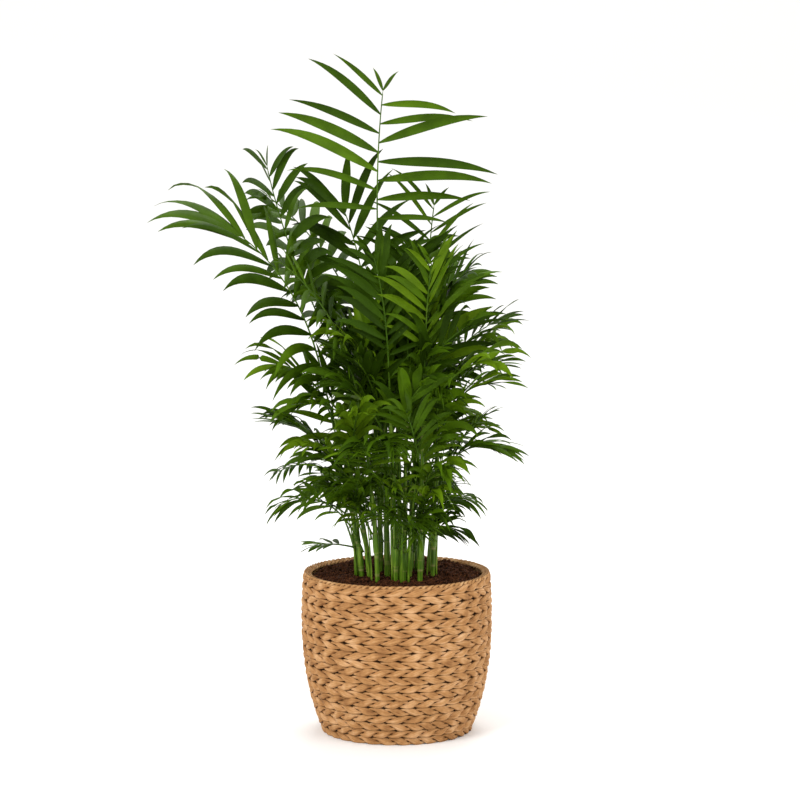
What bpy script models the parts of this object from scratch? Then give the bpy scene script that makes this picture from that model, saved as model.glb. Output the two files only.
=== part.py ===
"""A potted parlor palm: a clump of canes with feather fronds, in a twined basket filled with soil.

Metres, +Z up. The origin is the middle of the basket's flat underside, and the plant's best side faces -Y.
"""

import math
import random
from types import SimpleNamespace

import bmesh
import bpy
from mathutils import Matrix, Vector
from mathutils.bvhtree import BVHTree

MM = 0.001
UP = Vector((0, 0, 1))

# Basket
BASKET_HEIGHT = 198.5 * MM
BASKET_BELLY = 120 * MM  # outer radius where the basket is widest
BELLY_HEIGHT = 145 * MM
FOOT_RADIUS = 94 * MM
FOOT_CURVE = 2.3  # how late the side turns in towards the foot
RIM_DRAW_IN = 2.1 * MM
ROWS = 20  # rows of twined strands
ROW_GROOVE = 2.6 * MM
WALL = 10.5 * MM
WARPS = 36  # uprights that the strands are twined round
INNER_SHARES = (0.985, 0.75, 0.5, 0.25, 0.1, 0)  # of the height, where the inner side has a corner
BASE_THICKNESS = 8 * MM
RIM_CORD = 1.6 * MM  # radius of the thin cord along the rim
CORD_SIDES = 6

# Soil
SOIL_LEVEL = 196 * MM
SOIL_SLOPE = 0.065  # it lies higher at the back
SOIL_LUMP = 1.5 * MM
LUMPS_AT = 0.8  # share of the radius where the inner ring of lumps is
EVEN_SOIL = 52 * MM  # the canes stand inside this radius, where the surface is even
SOIL_SHARES = (0.25, 0.5, 0.75)  # of the basket's height, where the filling's side has a corner

# Fit
GAP = 0.3 * MM
BASE_FIT = 2 * GAP
SOIL_FIT = 3 * GAP
TIP_LIFT = 1.5 * GAP  # between a cane's tip and the frond that goes on from it
SIDE_REACH = 1.4 * GAP  # between a cane's side and the frond that leaves it there
RIB_CLEARANCE = 0.45 * MM
LEAF_CLEARANCE = 0.35 * MM

# Canes
CANE_FOOT = 3.7 * MM
CANE_TIP = 2.3 * MM
CANE_SIDES = 6
CANE_STEPS = 4
CANE_BEND = 1.5  # above 1 a cane starts upright and leans out higher up
CANES = (  # in mm: x and y on the soil, height above it, and how far its tip leans out in x and y
    (-24, -34, 190, -16, -8),
    (-1, -38, 205, -6, -16),
    (9, -31, 225, 4, -4),
    (29, -33, 215, 4, -12),
    (45, -13, 200, 8, -4),
    (-44, -8, 150, -30, 0),
    (-34, -15, 200, -43, -5),
    (-12, -10, 250, -3, 2),
    (16, -11, 215, 12, 2),
    (-20, 11, 240, -10, 8),
    (4, 12, 235, -4, 10),
    (31, 11, 225, 10, 8),
    (-12, 34, 215, -10, 22),
    (19, 33, 220, 10, 22),
)

# Fronds
RIB_STEPS = 40
RIB_BEND = 1.6  # above 1 the rib bends more towards its tip
PETIOLE_STEPS = 3
RIB_WIDTH = 3.2 * MM
RIB_TIP_WIDTH = 1.5 * MM
RIB_DEPTH = 2.8 * MM
RIB_TIP_DEPTH = 1.6 * MM
TIP_ONSET = 0.2  # share of the rib over which it turns out of the line of the cane below it
FREE_FOOT = 0.06  # share of the rib that may lie closer to its cane than RIB_CLEARANCE
LEAF_STEPS = 12
LEAF_WIDEST = 0.42  # share of a leaflet's length where it is widest
LEAF_THICKNESS = 1.5 * MM
LEAF_SLENDERNESS = 8.5  # length over width
SPREAD_FOOT = 80  # degrees between rib and leaflet at the foot of the blade
LONGEST_AT = 0.48  # share of the blade where its longest leaflets are
FOOT_LEAF = 0.6  # the lowest leaflets against the longest
LEAF_LIFT = 0.12
LEAF_JITTER = 4  # degrees either way
LEAF_LENGTHS = (0.92, 1.06)
TURNS = [0] + [sign * step for step in range(3, 78, 3) for sign in (1, -1)]  # tried about the foot, in degrees
DODGES = (0, 9, -9, 18, -18, 27, -27)  # degrees that a leaflet may tilt about the rib to find room
TRIMS = (1, 0.8, 0.62)  # and how short it may get
SEED = 11

# What a frond has where its row says nothing else. Angles in degrees, lengths in mm: rise is the rib's slope
# at foot and tip, bare the share of it without leaflets, ends the end leaflets against the longest, spread
# the angle of the end leaflets to the rib, roll the turn of the blade about its rib, skew how far all leaflets
# lean to one side, sag how far they hang, and first the frond whose petiole it forks off.
USUAL = dict(
    share=1, bare=0.35, leaves=16, leaf=90, ends=0.55, spread=60, roll=0, skew=0, sag=0.4, first=None,
)
SHOWN = {
    "frond_top": dict(
        cane=7, azimuth=180, rise=(85, 96.5), length=354, bare=0.54, leaves=13, leaf=146, ends=0.5,
        roll=90, skew=-14, sag=0.32,
    ),
    "frond_right_top": dict(
        cane=11, azimuth=0, rise=(94, 82), length=236, bare=0.42, leaves=14, leaf=94, ends=0.75,
        roll=-90, sag=0.3,
    ),
    "frond_left_top": dict(
        cane=9, azimuth=172, rise=(88, 69), length=215, bare=0.3, leaf=112, ends=0.9, spread=28, roll=70,
    ),
    "frond_far_left": dict(
        cane=6, azimuth=182, rise=(81, 36), length=259, bare=0.1, leaves=24, leaf=136, ends=1, spread=24,
        roll=-35, sag=0.75,
    ),
    "frond_upper_left": dict(
        cane=9, share=0.8, azimuth=172, rise=(61, 78), length=345, bare=0.4, leaves=24, leaf=98, ends=0.75,
        spread=45, roll=40, sag=0.5,
    ),
    "frond_back_left": dict(
        cane=12, azimuth=170, rise=(74, 34), length=300, bare=0.4, leaves=20, leaf=105, roll=-15, sag=0.6,
    ),
    "frond_fore_left": dict(
        cane=0, azimuth=194, rise=(80, 36), length=235, leaves=18, leaf=96, roll=-20, sag=0.6,
    ),
    "frond_left_pair": dict(
        cane=5, azimuth=188, rise=(42, 22), length=62, bare=0.4, leaves=7, leaf=78, ends=1, spread=14,
    ),
    "frond_low_left": dict(
        cane=6, share=0.6, azimuth=188, rise=(36, -35), length=98, bare=0.25, leaf=56, ends=0.8, sag=0.9,
    ),
    "frond_foot_left": dict(
        cane=5, share=0.25, azimuth=185, rise=(12, -8), length=46, leaves=7, leaf=42, ends=0.9, spread=35,
    ),
    "frond_foot_left_back": dict(
        cane=5, share=0.5, azimuth=172, rise=(40, 0), length=48, leaves=9, leaf=38, ends=0.8, sag=0.8,
    ),
    "frond_front_left": dict(
        cane=0, share=0.58, azimuth=262, rise=(72, 5), length=88, leaves=12, leaf=70, ends=0.9, sag=0.6,
    ),
    "frond_front_foot": dict(
        cane=0, share=0.32, azimuth=215, rise=(62, 0), length=62, leaves=10, leaf=46, sag=0.6,
    ),
    "frond_front_right": dict(
        cane=3, share=0.24, azimuth=262, rise=(58, -40), length=40, leaves=5, leaf=40, ends=0.9, spread=30,
        sag=0.9,
    ),
    "frond_upper_right": dict(
        cane=11, share=0.75, azimuth=-6, rise=(84, 26), length=170, bare=0.45, leaf=70, ends=1, spread=38,
        roll=-20,
    ),
    "frond_mid_right": dict(
        cane=4, azimuth=-4, rise=(68, 12), length=92, leaf=72, ends=0.9, spread=40,
    ),
    "frond_low_right": dict(
        cane=4, share=0.62, azimuth=-12, rise=(66, 38), length=94, leaf=50, ends=0.9, spread=32,
    ),
    "frond_far_right": dict(
        cane=4, share=0.76, azimuth=24, rise=(24, -10), length=62, bare=0.5, leaves=7, leaf=72, ends=1,
        spread=18, sag=0.5,
    ),
    "frond_foot_right": dict(
        cane=4, share=0.32, azimuth=-2, rise=(74, 58), length=52, leaves=9, leaf=38, ends=0.8,
    ),
    "frond_front_low_right": dict(
        cane=3, share=0.45, azimuth=-28, rise=(58, 0), length=48, leaves=9, leaf=44, ends=0.9,
    ),
}
# The rest of each cane's fronds, from the one that goes on from its tip to the lowest.
TIERS = {
    "high": dict(share=1, rise=(86, 44), length=212, leaf=92, leaves=17, sag=0.5),
    "middle": dict(share=0.65, rise=(76, 20), length=170, leaves=15, leaf=84),
    "low": dict(share=0.2, rise=(66, -28), length=104, leaves=11, leaf=62, sag=0.7),
}
SECOND_NAME = "_second"
TIER_TURN = {"low": 0, "middle": 28, "high": -20}
TIER_SPREAD = 14  # degrees either way
TIER_SHIFT = 0.06  # share of the cane's height either way
TIER_LENGTHS = (0.86, 1.1)
LEAN_LEFT = 0.26  # how much longer the fronds on the left are
ROOM = 0.32  # share of a cane's height that its fronds stay apart
# The lower fronds are pairs: a second one forks off low on the first one's petiole and is fused to it.
PAIRED = ("low", "middle")
FORK = 0.09
FORK_TURN = 78
SECOND = dict(rise=5, length=0.86, leaf=0.9, leaves=0.75)  # against the first one's


def blend(start, end, share):
    return start + (end - start) * share


# Basket and soil


def basket_radius(height):
    """Outer radius of the side at a height, over the middle of a row."""
    if height < BELLY_HEIGHT:
        return BASKET_BELLY - (BASKET_BELLY - FOOT_RADIUS) * (1 - height / BELLY_HEIGHT) ** FOOT_CURVE
    return BASKET_BELLY - RIM_DRAW_IN * ((height - BELLY_HEIGHT) / (BASKET_HEIGHT - BELLY_HEIGHT)) ** 2


def turned(name, profile, sides, material):
    """Spins a closed profile of (radius, height) corners round the upright axis."""
    mesh = bmesh.new()
    corners = [mesh.verts.new((radius, 0, height)) for radius, height in profile]
    loop = [mesh.edges.new(pair) for pair in zip(corners, corners[1:] + corners[:1])]
    bmesh.ops.spin(
        mesh, geom=corners + loop, cent=(0, 0, 0), axis=UP, angle=math.tau, steps=sides, use_merge=True
    )
    bmesh.ops.remove_doubles(mesh, verts=mesh.verts, dist=0.01 * MM)
    bmesh.ops.recalc_face_normals(mesh, faces=mesh.faces)
    return finished(name, mesh, material)


def make_basket(material, cord_material):
    row = BASKET_HEIGHT / ROWS
    outer = []
    for number in range(ROWS):
        foot = number * row
        inset = 0 if number == 0 else ROW_GROOVE
        outer.append((basket_radius(foot) - inset, foot))
        outer.append((basket_radius(foot + row / 2), foot + row / 2))
    rim = basket_radius(BASKET_HEIGHT)
    outer.append((rim - ROW_GROOVE, BASKET_HEIGHT))
    inner = [
        (basket_radius(height) - WALL, height) for height in (BASKET_HEIGHT * share for share in INNER_SHARES)
    ]
    turned("basket_wall", outer + inner, WARPS, material)

    radius = basket_radius(0) - WALL - BASE_FIT
    turned("basket_base", disc_profile(radius, 0, BASE_THICKNESS), WARPS, material)

    middle = rim - WALL / 2
    level = BASKET_HEIGHT + RIM_CORD + GAP
    ring = [
        (middle + RIM_CORD * math.cos(turn), level + RIM_CORD * math.sin(turn))
        for turn in (math.tau * k / CORD_SIDES for k in range(CORD_SIDES))
    ]
    turned("rim_cord", ring, WARPS, cord_material)


def disc_profile(radius, bottom, top):
    """Half of a disc, whose corners on the axis are drawn together by the spin."""
    return [(0, bottom), (radius, bottom), (radius, top), (0, top)]


def soil_height(x, y):
    return SOIL_LEVEL + SOIL_SLOPE * y


def make_soil(material):
    """The filled inside of the basket, up to a sloping surface with a few lumps near the wall."""
    draw = random.Random(SEED)
    mesh = bmesh.new()
    levels = [BASE_THICKNESS + GAP] + [BASKET_HEIGHT * share for share in SOIL_SHARES]
    angles = [math.tau * k / WARPS for k in range(WARPS)]
    rings = []
    for level in levels:
        radius = basket_radius(level) - WALL - SOIL_FIT
        rings.append([(radius * math.cos(a), radius * math.sin(a), level) for a in angles])
    edge = basket_radius(BASKET_HEIGHT) - WALL - SOIL_FIT
    for radius in (edge, LUMPS_AT * edge, EVEN_SOIL):
        ring = []
        for a in angles:
            x = radius * math.cos(a)
            y = radius * math.sin(a)
            lump = 0 if radius == EVEN_SOIL else draw.uniform(-SOIL_LUMP, SOIL_LUMP)
            ring.append((x, y, soil_height(x, y) + lump))
        rings.append(ring)
    rings = [[mesh.verts.new(corner) for corner in ring] for ring in rings]
    for low, high in zip(rings, rings[1:]):
        bridge(mesh, low, high)
    mesh.faces.new(rings[0][::-1])
    mesh.faces.new(rings[-1])
    bmesh.ops.recalc_face_normals(mesh, faces=mesh.faces)
    return finished("soil", mesh, material)


# Canes


def cane_at(cane, share):
    """Point, direction and radius of a cane at a share of its height."""
    x, y, height, lean_x, lean_y = (value * MM for value in CANES[cane])
    lean = Vector((lean_x, lean_y, 0))
    foot = Vector((x, y, soil_height(x, y) + SOIL_SLOPE * CANE_FOOT + GAP))
    point = foot + lean * share**CANE_BEND + UP * height * share
    direction = lean * CANE_BEND * share ** (CANE_BEND - 1) + UP * height
    return point, direction.normalized(), blend(CANE_FOOT, CANE_TIP, share)


def cane_rings(cane):
    rings = []
    for step in range(CANE_STEPS + 1):
        point, direction, radius = cane_at(cane, step / CANE_STEPS)
        turn = UP.rotation_difference(direction)
        rings.append([
            point + turn @ Vector((radius * math.cos(a), radius * math.sin(a), 0))
            for a in (math.tau * k / CANE_SIDES for k in range(CANE_SIDES))
        ])
    return rings


# Fronds


def plan_fronds():
    """The fronds of the table, then the rest of the crown by rule, each with a name of its own."""
    rows = list(SHOWN.items())
    taken = [(row["cane"], row.get("share", 1)) for name, row in rows]
    draw = random.Random(SEED)
    for tier, usual in TIERS.items():
        for cane, (x, y, height, lean_x, lean_y) in enumerate(CANES):
            outward = math.degrees(math.atan2(y + lean_y, x + lean_x))
            azimuth = outward + TIER_TURN[tier] + draw.uniform(-TIER_SPREAD, TIER_SPREAD)
            leftward = -math.cos(math.radians(azimuth))
            length = usual["length"] * draw.uniform(*TIER_LENGTHS) * (1 + LEAN_LEFT * leftward)
            share = usual["share"]
            if tier in PAIRED:
                share += draw.uniform(-TIER_SHIFT, TIER_SHIFT)
            if any(cane == other and abs(share - used) < ROOM for other, used in taken):
                continue
            taken.append((cane, share))
            row = dict(usual, cane=cane, share=share, azimuth=azimuth, length=length)
            paired = tier in PAIRED
            name = f"{'fronds' if paired else 'frond'}_{tier}_{cane + 1:02d}"
            rows.append((name, row))
            if paired:
                rows.append((name + SECOND_NAME, second_of(name, row)))
    fronds = [SimpleNamespace(name=name, **{**USUAL, **row}) for name, row in rows]
    named = {frond.name: frond for frond in fronds}
    for number, frond in enumerate(fronds):
        frond.number = number
        frond.first = named.get(frond.first)
    return fronds


def second_of(name, row):
    """The other frond of a pair: a little smaller and steeper, and swung to the side with more room."""
    swing = FORK_TURN if row["cane"] % 2 else -FORK_TURN
    foot, tip = row["rise"]
    return dict(
        row, first=name, azimuth=row["azimuth"] + swing, rise=(foot + SECOND["rise"], tip + SECOND["rise"]),
        length=row["length"] * SECOND["length"], leaf=row["leaf"] * SECOND["leaf"],
        leaves=round(row["leaves"] * SECOND["leaves"]),
    )


def rib_curve(frond, turn=0):
    """Points, directions and side directions in short even steps from foot to tip."""
    azimuth = math.radians(frond.azimuth + turn)
    outward = Vector((math.cos(azimuth), math.sin(azimuth), 0))
    point, direction, radius = cane_at(frond.cane, frond.share)
    at_tip = frond.share == 1
    if frond.first:
        point, along, side, normal = on_rib(frond.first.curve, FORK)
        point = point - normal * RIB_DEPTH / 4
    else:
        point = point + (direction * TIP_LIFT if at_tip else outward * (radius + SIDE_REACH))
    curve = []
    for step in range(RIB_STEPS + 1):
        share = step / RIB_STEPS
        rise = math.radians(blend(*frond.rise, share**RIB_BEND))
        along = outward * math.cos(rise) + UP * math.sin(rise)
        if at_tip:
            along = along.lerp(direction, max(0, 1 - share / TIP_ONSET)).normalized()
        side = outward.cross(UP)
        side = (side - along * side.dot(along)).normalized()
        side = Matrix.Rotation(math.radians(frond.roll), 3, along) @ side
        curve.append((point, along, side))
        point = point + along * (frond.length * MM / RIB_STEPS)
    return curve


def on_rib(curve, share):
    """Point, direction, side and upper normal of the rib at a share of its length."""
    place = min(share * RIB_STEPS, RIB_STEPS - 1e-6)
    low = int(place)
    point, along, side = (blend(a, b, place - low) for a, b in zip(curve[low], curve[low + 1]))
    along.normalize()
    side = (side - along * side.dot(along)).normalized()
    return point, along, side, side.cross(along)


def rib_ring(curve, share, grown=0):
    """Left, right and keel corner of the rib; grown makes it thicker all round."""
    point, along, side, normal = on_rib(curve, share)
    half = blend(RIB_WIDTH, RIB_TIP_WIDTH, share) / 2 + grown
    depth = blend(RIB_DEPTH, RIB_TIP_DEPTH, share) + grown
    top = point + normal * grown
    return [top - side * half, top + side * half, point - normal * depth]


def rib_shares(frond):
    """Where the rib's rings lie: a few on the petiole, then one on each side of every leaflet."""
    petiole = [frond.bare * step / PETIOLE_STEPS for step in range(PETIOLE_STEPS)]
    blade = [blend(frond.bare, 1, step / frond.leaves) for step in range(frond.leaves + 1)]
    return petiole + blade


def leaf_curve(frond, curve, number, jitter, dodge=0, trim=1):
    """Points in even steps along a leaflet, the direction and upper normal of the rib there, and its length."""
    place = (number + 0.5) / frond.leaves
    side_sign = 1 if number % 2 else -1
    point, along, side, normal = on_rib(curve, blend(frond.bare, 1, place))
    half = blend(RIB_WIDTH, RIB_TIP_WIDTH, blend(frond.bare, 1, place)) / 2
    spread = math.radians(blend(SPREAD_FOOT, frond.spread, place) + side_sign * frond.skew * place + jitter[0])
    start = along * math.cos(spread) + side * side_sign * math.sin(spread) + normal * LEAF_LIFT
    start = Matrix.Rotation(math.radians(dodge) * -side_sign, 3, along) @ start
    end = FOOT_LEAF if place < LONGEST_AT else frond.ends
    from_longest = (LONGEST_AT - place) / (LONGEST_AT if place < LONGEST_AT else 1 - LONGEST_AT)
    reach = 1 - (1 - end) * from_longest**2
    length = frond.leaf * MM * reach * jitter[1] * trim
    point = point + side * side_sign * half
    points = [point]
    for step in range(LEAF_STEPS):
        heading = (start.normalized() - UP * frond.sag * (step + 0.5) / LEAF_STEPS).normalized()
        point = point + heading * (length / LEAF_STEPS)
        points.append(point)
    return points, along, normal, length


def leaf_corners(points, along, normal, length, grown=0):
    """The leaflet's widest section, from its back lower corner on, and its tip."""
    place = round(LEAF_WIDEST * LEAF_STEPS)
    middle = points[place]
    heading = (points[place + 1] - points[place - 1]).normalized()
    across = (along - heading * along.dot(heading)).normalized()
    through = heading.cross(across)
    if through.dot(normal) < 0:
        through.negate()
    wide = across * (length / LEAF_SLENDERNESS / 2 + grown)
    thick = through * (LEAF_THICKNESS / 2 + grown)
    ring = [middle - wide - thick, middle - wide + thick, middle + wide + thick, middle + wide - thick]
    return ring, points[-1] + heading * grown


def leaf_root(frond, curve, number, grown=0):
    """The side face of the rib that a leaflet grows from, in the order of its widest section."""
    shares = rib_shares(frond)[PETIOLE_STEPS + number:]
    side = number % 2
    back = rib_ring(curve, shares[0], grown)
    front = rib_ring(curve, shares[1], grown)
    return [back[2], back[side], front[side], front[2]]


def jitters(frond):
    draw = random.Random(SEED + frond.number)
    return [
        (draw.uniform(-LEAF_JITTER, LEAF_JITTER), draw.uniform(*LEAF_LENGTHS)) for _ in range(frond.leaves)
    ]


# Free room, tested with closed shapes of corner and face lists


def prism(rings, tip=None):
    """Corners and faces of a closed shape through rings of equal size."""
    size = len(rings[0])
    corners = [corner for ring in rings for corner in ring]
    faces = [tuple(reversed(range(size)))]
    for low in range(0, size * (len(rings) - 1), size):
        high = low + size
        faces += [(low + k, low + (k + 1) % size, high + (k + 1) % size, high + k) for k in range(size)]
    last = size * (len(rings) - 1)
    if tip is None:
        faces.append(tuple(range(last, last + size)))
    else:
        corners.append(tip)
        faces += [(last + k, last + (k + 1) % size, last + size) for k in range(size)]
    return corners, faces


def tree_of(shapes):
    corners = []
    faces = []
    for shape_corners, shape_faces in shapes:
        faces += [tuple(index + len(corners) for index in face) for face in shape_faces]
        corners += shape_corners
    return BVHTree.FromPolygons(corners, faces)


def is_free(shape, tree):
    return not BVHTree.FromPolygons(*shape).overlap(tree)


def rib_shape(frond, curve, start=0, grown=0):
    shares = [share for share in rib_shares(frond) if share >= start]
    return prism([rib_ring(curve, share, grown) for share in shares])


def place_ribs(fronds, solids):
    """Turns each frond about its foot until its rib is clear of the canes and of the ribs before it."""
    ribs = {}
    for frond in fronds:
        first = frond.first.name if frond.first else None
        tree = tree_of(solids + [shape for name, shape in ribs.items() if name != first])
        for turn in TURNS:
            curve = rib_curve(frond, turn)
            whole = rib_shape(frond, curve)
            if is_free(whole, tree) and is_free(rib_shape(frond, curve, FREE_FOOT, RIB_CLEARANCE), tree):
                break
        else:
            raise ValueError(f"{frond.name} finds no way up")
        frond.turn = turn
        frond.curve = curve
        frond.rib = whole
        ribs[frond.name] = whole


def place_leaves(fronds, solids):
    """Gives each frond the leaflets that find room, tilted or shortened where something is in the way."""
    leaves = {frond.name: [] for frond in fronds}
    for frond in fronds:
        frond.blades = {}
        others = [other.rib for other in fronds if other is not frond]
        near = [shape for name in leaves for shape in leaves[name] if name != frond.name]
        tree = tree_of(solids + others + near)
        for number, jitter in enumerate(jitters(frond)):
            for trim in TRIMS:
                for dodge in DODGES:
                    leaf = leaf_curve(frond, frond.curve, number, jitter, dodge, trim)
                    ring, tip = leaf_corners(*leaf, LEAF_CLEARANCE)
                    shape = prism([leaf_root(frond, frond.curve, number, LEAF_CLEARANCE), ring], tip)
                    if is_free(shape, tree):
                        break
                else:
                    continue
                break
            else:
                continue
            frond.blades[number] = leaf
            leaves[frond.name].append(shape)


# Meshes


def bridge(mesh, low, high):
    """Quads between two rings of vertices of equal size, in order."""
    size = len(low)
    return [
        mesh.faces.new((low[k], low[(k + 1) % size], high[(k + 1) % size], high[k])) for k in range(size)
    ]


def finished(name, mesh, material):
    data = bpy.data.meshes.new(name)
    mesh.to_mesh(data)
    mesh.free()
    data.materials.append(material)
    data.shade_smooth()
    data.set_sharp_from_angle(angle=math.radians(40))
    made = bpy.data.objects.new(name, data)
    bpy.context.scene.collection.objects.link(made)
    return made


def make_tube(name, rings, material):
    mesh = bmesh.new()
    rings = [[mesh.verts.new(corner) for corner in ring] for ring in rings]
    for low, high in zip(rings, rings[1:]):
        bridge(mesh, low, high)
    mesh.faces.new(rings[0][::-1])
    mesh.faces.new(rings[-1])
    bmesh.ops.recalc_face_normals(mesh, faces=mesh.faces)
    return finished(name, mesh, material)


def make_frond(frond, material):
    """A keeled rib whose side faces grow into leaflets, all one closed skin."""
    mesh = bmesh.new()
    rings = [
        [mesh.verts.new(corner) for corner in rib_ring(frond.curve, share)] for share in rib_shares(frond)
    ]
    mesh.faces.new(rings[0][::-1])
    for number, (low, high) in enumerate(zip(rings, rings[1:]), -PETIOLE_STEPS):
        left, right, keel = low
        next_left, next_right, next_keel = high
        mesh.faces.new((left, right, next_right, next_left))
        for side, quad in enumerate(((keel, left, next_left, next_keel), (keel, right, next_right, next_keel))):
            if number in frond.blades and number % 2 == side:
                grow_leaf(mesh, quad, frond.blades[number])
            else:
                mesh.faces.new(quad)
    mesh.faces.new(rings[-1])
    bmesh.ops.recalc_face_normals(mesh, faces=mesh.faces)
    return finished(frond.name, mesh, material)


def grow_leaf(mesh, root, leaf):
    """Draws a side face of the rib out to the leaflet's widest section and on to its tip."""
    corners, tip = leaf_corners(*leaf)
    ring = [mesh.verts.new(corner) for corner in corners]
    bridge(mesh, root, ring)
    end = mesh.verts.new(tip)
    for k in range(4):
        mesh.faces.new((ring[k], ring[(k + 1) % 4], end))


def fuse(whole, extra):
    """Joins the second solid to the first by a Boolean union, and removes it."""
    union = whole.modifiers.new("union", "BOOLEAN")
    union.operation = "UNION"
    union.solver = "EXACT"
    union.object = extra
    data = bpy.data.meshes.new_from_object(whole.evaluated_get(bpy.context.evaluated_depsgraph_get()))
    whole.modifiers.clear()
    whole.data = data
    bpy.data.objects.remove(extra)


def finish_of(name, colour, roughness):
    material = bpy.data.materials.new(name)
    material.use_nodes = True
    shader = material.node_tree.nodes["Principled BSDF"]
    shader.inputs["Base Color"].default_value = (*colour, 1)
    shader.inputs["Roughness"].default_value = roughness
    shader.inputs["Metallic"].default_value = 0
    material.diffuse_color = (*colour, 1)
    return material


def grow_plan():
    """All fronds with their ribs and leaflets placed."""
    fronds = plan_fronds()
    canes = [prism(cane_rings(cane)) for cane in range(len(CANES))]
    rim = basket_radius(BASKET_HEIGHT)
    angles = [math.tau * k / WARPS for k in range(WARPS)]
    pot = prism([
        [Vector((rim * math.cos(a), rim * math.sin(a), level)) for a in angles]
        for level in (0, BASKET_HEIGHT + 3 * RIM_CORD)
    ])
    place_ribs(fronds, canes)
    place_leaves(fronds, canes + [pot])
    return fronds


def main():
    for old in list(bpy.data.objects):
        bpy.data.objects.remove(old)
    straw = finish_of("twined water hyacinth", (0.42, 0.24, 0.11), 0.75)
    straw_cord = finish_of("twisted cord", (0.5, 0.33, 0.17), 0.75)
    peat = finish_of("peat", (0.035, 0.018, 0.011), 0.95)
    cane_green = finish_of("cane", (0.13, 0.22, 0.045), 0.5)
    leaf_green = finish_of("leaf", (0.035, 0.11, 0.012), 0.42)
    make_basket(straw, straw_cord)
    make_soil(peat)
    for cane in range(len(CANES)):
        make_tube(f"cane_{cane + 1:02d}", cane_rings(cane), cane_green)
    made = {}
    for frond in grow_plan():
        made[frond.name] = make_frond(frond, leaf_green)
        if frond.first:
            fuse(made[frond.first.name], made[frond.name])


if __name__ == "__main__":
    main()
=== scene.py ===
import random
from math import atan2, cos, degrees, exp, hypot, pi, radians, sin, sqrt, tau
from types import SimpleNamespace

import bpy
from mathutils import Matrix, Vector, noise
from mathutils.bvhtree import BVHTree


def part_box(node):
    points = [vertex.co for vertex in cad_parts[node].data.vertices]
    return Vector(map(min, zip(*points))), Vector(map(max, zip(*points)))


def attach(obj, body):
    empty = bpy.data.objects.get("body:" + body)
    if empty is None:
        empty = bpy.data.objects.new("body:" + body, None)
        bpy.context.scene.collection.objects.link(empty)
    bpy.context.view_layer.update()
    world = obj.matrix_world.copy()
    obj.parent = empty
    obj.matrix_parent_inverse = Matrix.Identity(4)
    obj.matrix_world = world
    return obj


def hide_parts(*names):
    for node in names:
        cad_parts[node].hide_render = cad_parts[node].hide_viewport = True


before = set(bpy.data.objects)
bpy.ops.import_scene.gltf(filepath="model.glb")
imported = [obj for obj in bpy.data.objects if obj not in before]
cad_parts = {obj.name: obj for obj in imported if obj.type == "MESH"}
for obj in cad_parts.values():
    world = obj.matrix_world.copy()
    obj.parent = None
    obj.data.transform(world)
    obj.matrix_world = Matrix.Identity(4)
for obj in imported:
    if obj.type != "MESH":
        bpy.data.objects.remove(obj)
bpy.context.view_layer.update()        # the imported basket, soil, canes and fronds

mm = 0.001
up = Vector((0, 0, 1))
plantIor = 1.45  # near it: leaf wax, cellulose and dried stalks
bpy.ops.object.select_all(action="DESELECT")


# Small helpers

def blend(start, end, share):
    return start + (end - start) * share


def hexColour(text):
    # sRGB hex to linear
    parts = [int(text[k:k + 2], 16) / 255 for k in (0, 2, 4)]
    return (*[c / 12.92 if c <= 0.04045 else ((c + 0.055) / 1.055) ** 2.4 for c in parts], 1)


def addNode(tree, kind, links=None, stops=None, **settings):
    # links: input name or number to a socket or a value; stops: the places and hex colours of a ramp
    node = tree.nodes.new("ShaderNode" + kind)
    for name, value in settings.items():
        setattr(node, name, value)
    for name, value in (links or {}).items():
        if isinstance(value, bpy.types.NodeSocket):
            tree.links.new(value, node.inputs[name])
        else:
            node.inputs[name].default_value = value
    if stops:
        ramp = node.color_ramp
        while len(ramp.elements) < len(stops):
            ramp.elements.new(0.5)
        for element, (place, colour) in zip(ramp.elements, stops):
            element.position = place
            element.color = hexColour(colour)
    return node


def newMaterial(name, roughness, specular=0.15):
    material = bpy.data.materials.new(name)
    material.use_nodes = True
    shader = material.node_tree.nodes["Principled BSDF"]
    shader.inputs["Roughness"].default_value = roughness
    shader.inputs["IOR"].default_value = plantIor
    shader.inputs["Specular IOR Level"].default_value = specular
    return material, material.node_tree, shader


def wire(tree, shader, colour, bump=None):
    tree.links.new(colour, shader.inputs["Base Color"])
    if bump:
        tree.links.new(bump.outputs["Normal"], shader.inputs["Normal"])


def newObject(name, data):
    added = bpy.data.objects.new(name, data)
    bpy.context.scene.collection.objects.link(added)
    return added


def switchTo(mode):
    bpy.ops.object.mode_set(mode=mode)


def finishMesh(piece, name, material):
    piece.name = name
    piece.data.materials.append(material)
    piece.data.shade_smooth()
    piece.select_set(False)


def newPatch():
    return SimpleNamespace(points=[], faces=[], uvs=[])


def addRows(patch, rows, ring=False, capped=False):
    # quads between rows of points; a ring closes each row on itself
    # a row is its points and their UVs, or the first value of the UVs round a tube
    first = len(patch.points)
    size = len(rows[0][0])
    for points, uvs in rows:
        patch.points.extend(points)
        patch.uvs.extend(uvs if isinstance(uvs, list) else [(uvs, k / size) for k in range(size)])
    for low in range(first, first + size * (len(rows) - 1), size):
        for k in range(size if ring else size - 1):
            after = (k + 1) % size
            patch.faces.append((low + k, low + after, low + size + after, low + size + k))
    if capped:
        patch.faces.append(tuple(range(first + size - 1, first - 1, -1)))
        patch.faces.append(tuple(range(first + size * (len(rows) - 1), first + size * len(rows))))


def pieceFrom(name, patch, material, nodes=()):
    data = bpy.data.meshes.new(name)
    data.from_pydata([tuple(point) for point in patch.points], [], patch.faces)
    layer = data.uv_layers.new(name="UVMap")
    for loop in data.loops:
        layer.data[loop.index].uv = patch.uvs[loop.vertex_index]
    data.materials.append(material)
    data.shade_smooth()
    return claimed(newObject(name, data), nodes)


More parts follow.
